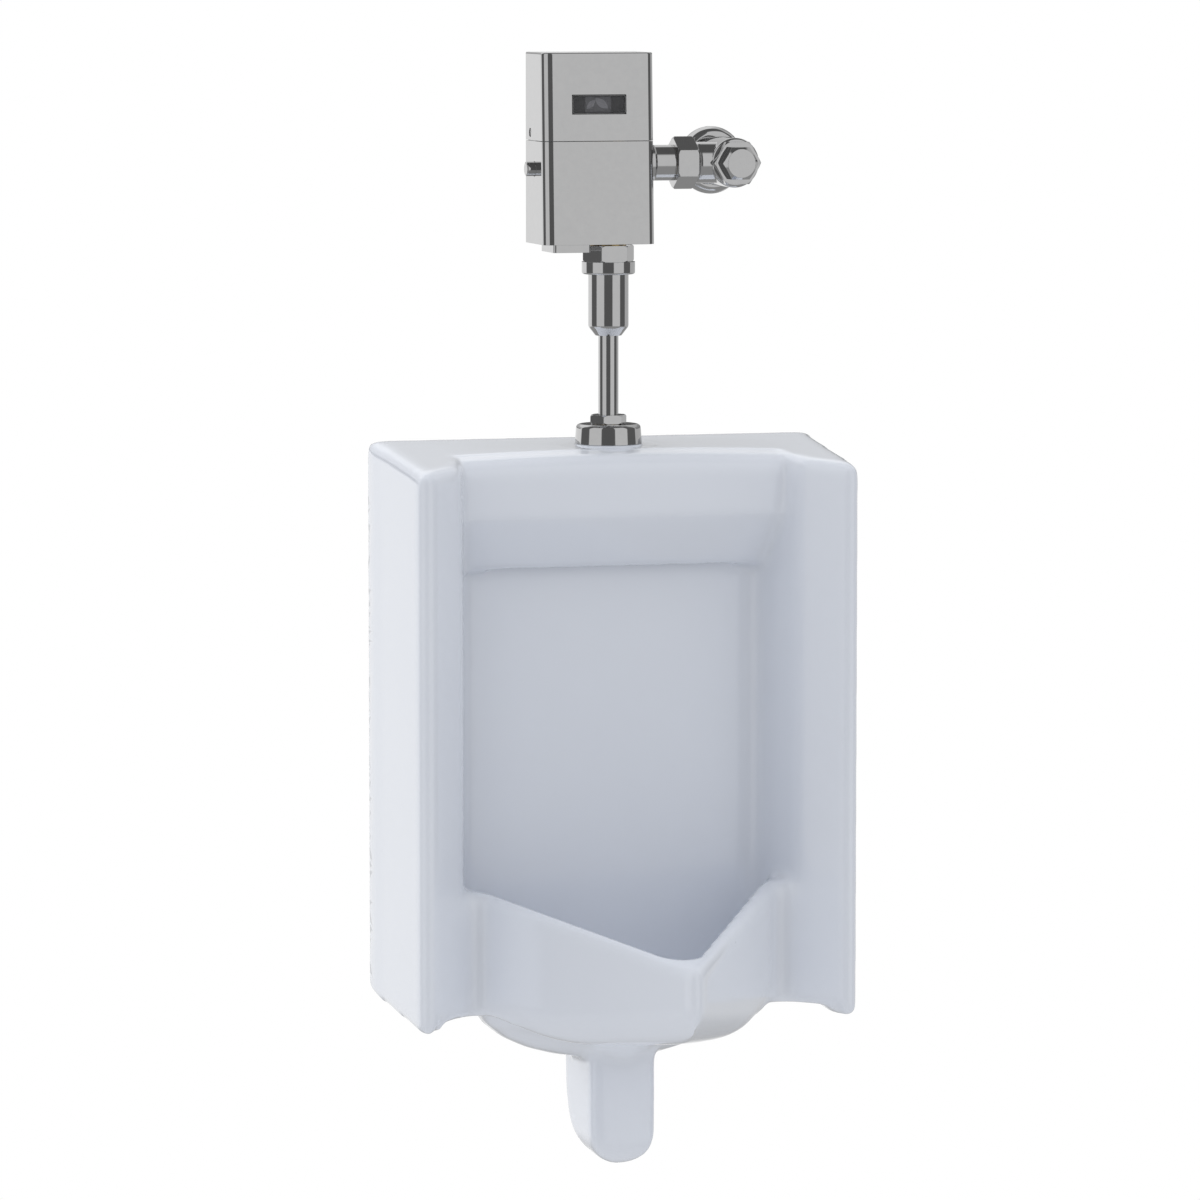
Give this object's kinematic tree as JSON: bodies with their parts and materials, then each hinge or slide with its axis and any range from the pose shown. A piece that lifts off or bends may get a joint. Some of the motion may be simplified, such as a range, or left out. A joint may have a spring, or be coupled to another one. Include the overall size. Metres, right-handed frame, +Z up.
{
  "type": "wall-hung urinal with sensor flush valve",
  "caption": "Wall-hung china urinal with a pointed lip, side wings and integral trap, and a chromed sensor flush valve with override button, vacuum breaker and control stop.",
  "frame": {"origin": "centre of the waste outlet on the finished wall", "axes": "+Z up, +Y into the wall, the front faces -Y, +X to the right seen from the front; the wall is the plane Y = 0"},
  "size_m": [0.438, 0.3668, 1.0532],
  "materials": {
    "china": "gloss white glaze",
    "chrome": "polished chrome plate",
    "stainless": "satin",
    "zinc_steel": "zinc plated",
    "brass": "machined",
    "rubber": "matt",
    "white_acetal": "moulded",
    "black_plastic": "moulded",
    "smoked_window": "dark infrared window",
    "board": "solder mask",
    "armature_steel": "ground"
  },
  "bodies": {
    "fixture": {"back_plate": "black_plastic", "battery_case": "black_plastic", "battery_cells": "stainless", "button_spring": "stainless", "circuit_board": "board", "cover_screws": "stainless", "drain_strainer": "stainless", "flush_tube": "chrome", "inlet_trim": "chrome", "lower_cover": "chrome", "outlet_adapter": "chrome", "outlet_bolts": "stainless", "outlet_flange": "brass", "outlet_gasket": "rubber", "outlet_nuts": "stainless", "outlet_washers": "stainless", "piston_cap": "brass", "piston_spring": "stainless", "sensor_module": "black_plastic", "sensor_window": "smoked_window", "service_cover": "chrome", "slip_gasket": "rubber", "slip_nut": "chrome", "solenoid_coil": "black_plastic", "solenoid_spring": "stainless", "spud": "brass", "spud_escutcheon": "chrome", "spud_gasket": "rubber", "spud_lock_nut": "brass", "stop_body": "chrome", "stop_bonnet": "chrome", "stop_cap": "chrome", "supply_nut": "chrome", "tailpiece": "brass", "tailpiece_gasket": "rubber", "tailpiece_o_ring": "rubber", "upper_cover": "chrome", "urinal_body": "china", "vacuum_breaker_collar": "chrome", "vacuum_breaker_insert": "rubber", "vacuum_breaker_tube": "chrome", "valve_body": "brass", "wall_escutcheon": "chrome", "wall_hanger_left": "zinc_steel", "wall_hanger_right": "zinc_steel"},
    "button": {"flush_button": "chrome"},
    "piston": {"flush_piston": "white_acetal", "piston_seal": "rubber", "piston_washer": "rubber"},
    "armature": {"solenoid_armature": "armature_steel"},
    "stop_plunger": {"stop_plunger": "brass", "stop_washer": "rubber"},
    "stop_spindle": {"stop_spindle": "brass"}
  },
  "joints": [
    {"name": "button_press", "type": "slide", "parent": "fixture", "child": "button", "axis": [1, 0, 0], "range_m": [0, 0.0035], "stiffness_N_per_m": 600, "springref_m": -0.004, "deforming": ["button_spring"]},
    {"name": "piston_lift", "type": "slide", "parent": "fixture", "child": "piston", "axis": [0, 0, 1], "range_m": [0, 0.007], "stiffness_N_per_m": 400, "springref_m": -0.008, "deforming": ["piston_spring"]},
    {"name": "armature_pull", "type": "slide", "parent": "fixture", "child": "armature", "axis": [-1, 0, 0], "range_m": [0, 0.0015], "stiffness_N_per_m": 500, "springref_m": -0.002, "deforming": ["solenoid_spring"]},
    {"name": "stop_travel", "type": "slide", "parent": "fixture", "child": "stop_plunger", "axis": [0, 1, 0], "range_m": [0, 0.0075]},
    {"name": "stop_turn", "type": "hinge", "parent": "stop_plunger", "child": "stop_spindle", "pos_m": [0.1192, -0.0735, 0.82568], "axis": [0, 1, 0], "range_deg": [0, 1080]}
  ],
  "couplings": [
    {"joint": "stop_turn", "follows": "stop_travel", "rad_per_m": 2513}
  ]
}
